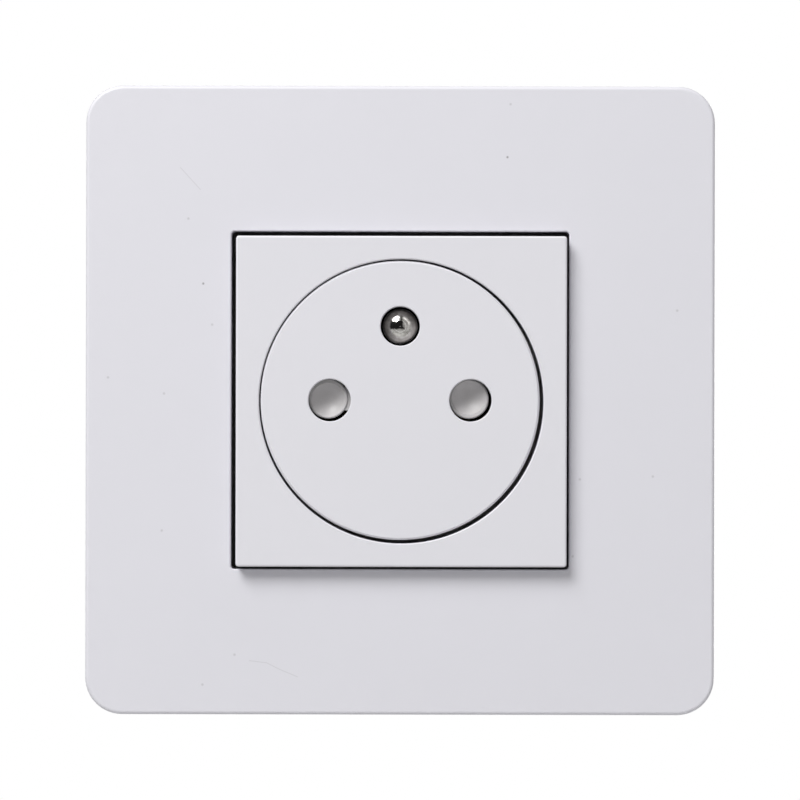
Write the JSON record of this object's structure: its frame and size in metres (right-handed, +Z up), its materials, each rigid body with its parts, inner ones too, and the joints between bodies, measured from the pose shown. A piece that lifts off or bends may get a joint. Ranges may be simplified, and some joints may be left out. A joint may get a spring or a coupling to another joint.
{
  "type": "flush wall socket",
  "caption": "Flush wall socket with a square cover plate, a sprung round disc level with its insert, shuttered live pin holes and a standing earth pin.",
  "frame": {"origin": "on the wall plane, on the axis of the disc, midway between the two wall box screws", "axes": "+Y into the wall, so the front faces -Y; +Z up, towards the earth pin; +X to the right seen from the front"},
  "size_m": [0.085, 0.037, 0.085],
  "materials": {
    "white_cover": "satin white",
    "shutter_grey": "smooth mid grey",
    "frame_plastic": "fine grained mid grey",
    "housing_plastic": "fine grained dark grey",
    "nickel_plated": "turned and polished",
    "brass": "stamped strip",
    "plated_steel": "zinc plated",
    "spring_steel": "drawn wire"
  },
  "bodies": {
    "socket": {"cover_plate": "white_cover", "front_shell": "white_cover", "fixing_frame": "frame_plastic", "base_housing": "housing_plastic", "rear_cover": "housing_plastic", "rear_cover_screws": "plated_steel", "earth_pin": "nickel_plated", "earth_strap": "brass", "line_contact": "brass", "neutral_contact": "brass", "line_terminal": "plated_steel", "neutral_terminal": "plated_steel", "earth_terminal": "plated_steel", "line_terminal_screw": "plated_steel", "neutral_terminal_screw": "plated_steel", "earth_terminal_screw": "plated_steel", "disc_spring_upper": "spring_steel", "disc_spring_lower": "spring_steel"},
    "disc": {"disc_face": "white_cover", "disc_back": "shutter_grey", "shutter_spring": "spring_steel"},
    "shutter": {"shutter_rotor": "shutter_grey"}
  },
  "joints": [
    {"name": "disc_press", "type": "slide", "parent": "socket", "child": "disc", "axis": [0, 1, 0], "range_m": [0, 0.015], "stiffness_N_per_m": 1540, "springref_m": -0.005, "deforming": ["disc_spring_upper", "disc_spring_lower"]},
    {"name": "shutter_turn", "type": "hinge", "parent": "disc", "child": "shutter", "pos_m": [-0.00022, 0, 0.00022], "axis": [0, 1, 0], "range_deg": [0, 36.88], "stiffness_Nm_per_rad": 0.002, "springref_deg": -57.3, "deforming": ["shutter_spring"]}
  ]
}
